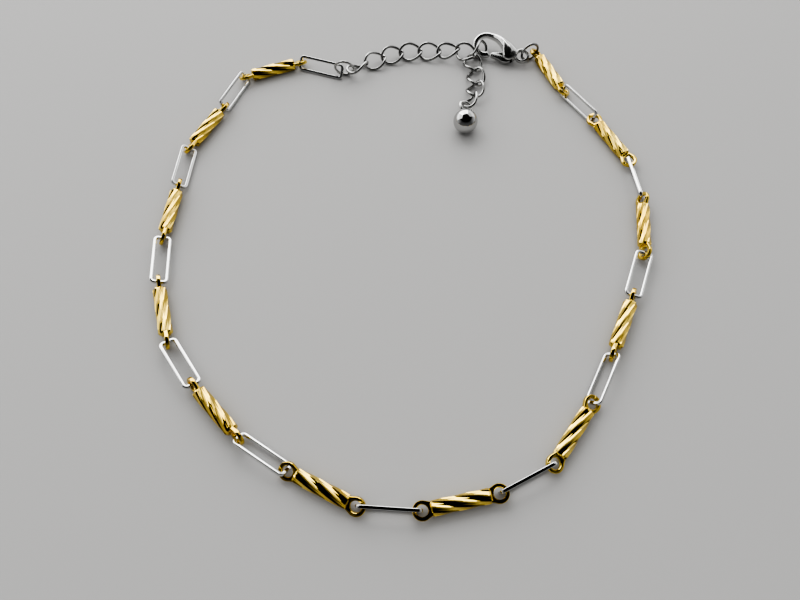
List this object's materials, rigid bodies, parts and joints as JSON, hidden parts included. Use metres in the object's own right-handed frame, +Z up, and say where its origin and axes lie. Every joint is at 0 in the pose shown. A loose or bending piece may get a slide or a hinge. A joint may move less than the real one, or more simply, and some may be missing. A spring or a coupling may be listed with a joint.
{
  "type": "chain anklet",
  "caption": "Two-tone chain anklet of twist-faceted gold-tone bars and silver-tone wire links, closed by a lobster clasp on an extender chain that ends in a polished ball.",
  "frame": {"origin": "under the middle of the anklet as it lies, on the surface it lies on", "axes": "+Z up from the surface, +Y towards the side with the clasp and the extender chain"},
  "size_m": [0.071, 0.0798, 0.0038],
  "materials": {
    "gold_tone": "polished, gold plated",
    "silver_tone": "polished, silver plated"
  },
  "bodies": {
    "anklet": {"bar_01": "gold_tone", "bar_02": "gold_tone", "bar_03": "gold_tone", "bar_04": "gold_tone", "bar_05": "gold_tone", "bar_06": "gold_tone", "bar_07": "gold_tone", "bar_08": "gold_tone", "bar_09": "gold_tone", "bar_10": "gold_tone", "bar_11": "gold_tone", "bar_12": "gold_tone", "link_01": "silver_tone", "link_02": "silver_tone", "link_03": "silver_tone", "link_04": "silver_tone", "link_05": "silver_tone", "link_06": "silver_tone", "link_07": "silver_tone", "link_08": "silver_tone", "link_09": "silver_tone", "link_10": "silver_tone", "link_11": "silver_tone", "link_12": "silver_tone", "start_ring": "silver_tone", "clasp_ring": "silver_tone", "clasp_body": "silver_tone", "extender_01": "silver_tone", "extender_02": "silver_tone", "extender_03": "silver_tone", "extender_04": "silver_tone", "extender_05": "silver_tone", "extender_06": "silver_tone", "extender_07": "silver_tone", "extender_08": "silver_tone", "extender_09": "silver_tone", "extender_10": "silver_tone", "extender_11": "silver_tone", "extender_12": "silver_tone", "ball_drop": "silver_tone"},
    "lever": {"clasp_lever": "silver_tone"}
  },
  "joints": [
    {"name": "lever_hinge", "type": "hinge", "parent": "anklet", "child": "lever", "pos_m": [0.01821, 0.03527, 0.00119], "axis": [0.1226, 0.3193, -0.9397], "range_deg": [0, 25], "stiffness_Nm_per_rad": 0.02, "springref_deg": -5.73}
  ]
}
